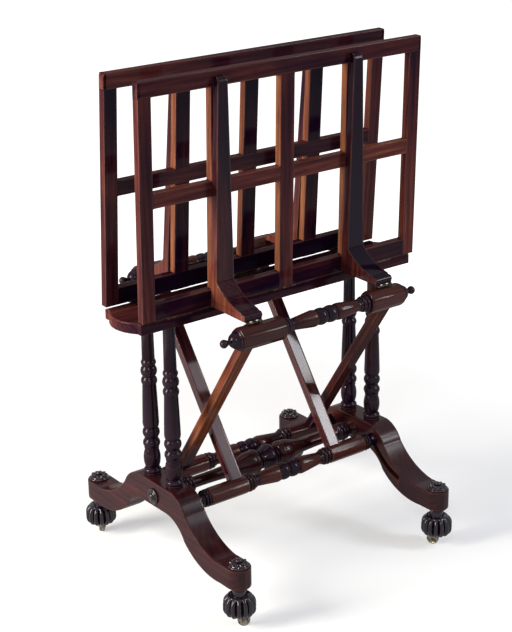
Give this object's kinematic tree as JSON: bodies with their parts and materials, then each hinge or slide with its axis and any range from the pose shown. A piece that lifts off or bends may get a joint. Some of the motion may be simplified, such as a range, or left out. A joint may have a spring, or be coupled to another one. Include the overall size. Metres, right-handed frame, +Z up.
{
  "type": "folio stand",
  "caption": "Turned wooden folio stand: open leaves hinged on a platform, crossed struts, turned columns on trestle ends with castors.",
  "frame": {"origin": "on the floor under the middle of the stand", "axes": "+X along the leaves to the right, +Y towards the back leaf, +Z up"},
  "size_m": [0.736, 0.578, 1.0813],
  "materials": {
    "rosewood": "polished rosewood",
    "dark_rosewood": "polished dark rosewood",
    "brass": "aged brass"
  },
  "bodies": {
    "stand": {"left_trestle": "rosewood", "front_left_column": "dark_rosewood", "front_left_foot": "dark_rosewood", "back_left_column": "dark_rosewood", "back_left_foot": "dark_rosewood", "right_trestle": "rosewood", "front_right_column": "dark_rosewood", "front_right_foot": "dark_rosewood", "back_right_column": "dark_rosewood", "back_right_foot": "dark_rosewood", "central_stretcher": "dark_rosewood", "stretcher_bosses": "dark_rosewood", "toe_paterae": "dark_rosewood", "platform": "rosewood", "platform_hinge_plates": "brass", "castor_plates": "brass"},
    "front_leaf": {"front_leaf_left_stile": "rosewood", "front_leaf_right_stile": "rosewood", "front_leaf_left_muntin": "rosewood", "front_leaf_centre_muntin": "rosewood", "front_leaf_right_muntin": "rosewood", "front_leaf_bottom_rail": "rosewood", "front_leaf_middle_rail": "rosewood", "front_leaf_top_rail": "rosewood", "front_left_arm": "rosewood", "front_right_arm": "rosewood", "front_leaf_hinge_plates": "brass", "front_arm_hinge_plates": "brass"},
    "front_strut_frame": {"front_upper_bar": "dark_rosewood", "back_lower_bar": "dark_rosewood", "front_left_strut": "rosewood", "front_right_strut": "rosewood", "front_bar_hinge_plates": "brass"},
    "back_leaf": {"back_leaf_left_stile": "rosewood", "back_leaf_right_stile": "rosewood", "back_leaf_left_muntin": "rosewood", "back_leaf_centre_muntin": "rosewood", "back_leaf_right_muntin": "rosewood", "back_leaf_bottom_rail": "rosewood", "back_leaf_middle_rail": "rosewood", "back_leaf_top_rail": "rosewood", "back_left_arm": "rosewood", "back_right_arm": "rosewood", "back_leaf_hinge_plates": "brass", "back_arm_hinge_plates": "brass"},
    "back_strut_frame": {"back_upper_bar": "dark_rosewood", "front_lower_bar": "dark_rosewood", "back_left_strut": "rosewood", "back_right_strut": "rosewood", "back_bar_hinge_plates": "brass"},
    "front_left_castor_horn": {"front_left_castor_horn": "brass"},
    "front_left_castor_wheel": {"front_left_castor_wheel": "brass"},
    "back_left_castor_horn": {"back_left_castor_horn": "brass"},
    "back_left_castor_wheel": {"back_left_castor_wheel": "brass"},
    "front_right_castor_horn": {"front_right_castor_horn": "brass"},
    "front_right_castor_wheel": {"front_right_castor_wheel": "brass"},
    "back_right_castor_horn": {"back_right_castor_horn": "brass"},
    "back_right_castor_wheel": {"back_right_castor_wheel": "brass"}
  },
  "joints": [
    {"name": "front_leaf_hinge", "type": "hinge", "parent": "stand", "child": "front_leaf", "pos_m": [0, -0.067, 0.6042], "axis": [1, 0, 0], "range_deg": [-4, 50]},
    {"name": "front_strut_hinge", "type": "hinge", "parent": "front_leaf", "child": "front_strut_frame", "pos_m": [0, -0.18697, 0.6016], "axis": [1, 0, 0], "range_deg": [-44, 3.98]},
    {"name": "back_leaf_hinge", "type": "hinge", "parent": "stand", "child": "back_leaf", "pos_m": [0, 0.067, 0.6042], "axis": [-1, 0, 0], "range_deg": [-1, 50]},
    {"name": "back_strut_hinge", "type": "hinge", "parent": "back_leaf", "child": "back_strut_frame", "pos_m": [0, 0.18669, 0.6129], "axis": [-1, 0, 0], "range_deg": [-44, 1.37]},
    {"name": "front_left_swivel", "type": "hinge", "parent": "stand", "child": "front_left_castor_horn", "pos_m": [-0.269, -0.255, 0.03], "axis": [0, 0, 1], "continuous": true},
    {"name": "front_left_wheel_spin", "type": "hinge", "parent": "front_left_castor_horn", "child": "front_left_castor_wheel", "pos_m": [-0.26175, -0.25838, 0.013], "axis": [0.4226, 0.9063, 0], "continuous": true},
    {"name": "back_left_swivel", "type": "hinge", "parent": "stand", "child": "back_left_castor_horn", "pos_m": [-0.269, 0.255, 0.03], "axis": [0, 0, 1], "continuous": true},
    {"name": "back_left_wheel_spin", "type": "hinge", "parent": "back_left_castor_horn", "child": "back_left_castor_wheel", "pos_m": [-0.26386, 0.26113, 0.013], "axis": [-0.766, 0.6428, 0], "continuous": true},
    {"name": "front_right_swivel", "type": "hinge", "parent": "stand", "child": "front_right_castor_horn", "pos_m": [0.269, -0.255, 0.03], "axis": [0, 0, 1], "continuous": true},
    {"name": "front_right_wheel_spin", "type": "hinge", "parent": "front_right_castor_horn", "child": "front_right_castor_wheel", "pos_m": [0.26626, -0.24748, 0.013], "axis": [-0.9397, -0.342, 0], "continuous": true},
    {"name": "back_right_swivel", "type": "hinge", "parent": "stand", "child": "back_right_castor_horn", "pos_m": [0.269, 0.255, 0.03], "axis": [0, 0, 1], "continuous": true},
    {"name": "back_right_wheel_spin", "type": "hinge", "parent": "back_right_castor_horn", "child": "back_right_castor_wheel", "pos_m": [0.27652, 0.25774, 0.013], "axis": [-0.342, 0.9397, 0], "continuous": true}
  ],
  "couplings": [
    {"joint": "front_strut_hinge", "follows": "front_leaf_hinge", "ratio": -0.87},
    {"joint": "back_strut_hinge", "follows": "back_leaf_hinge", "ratio": -0.87}
  ]
}
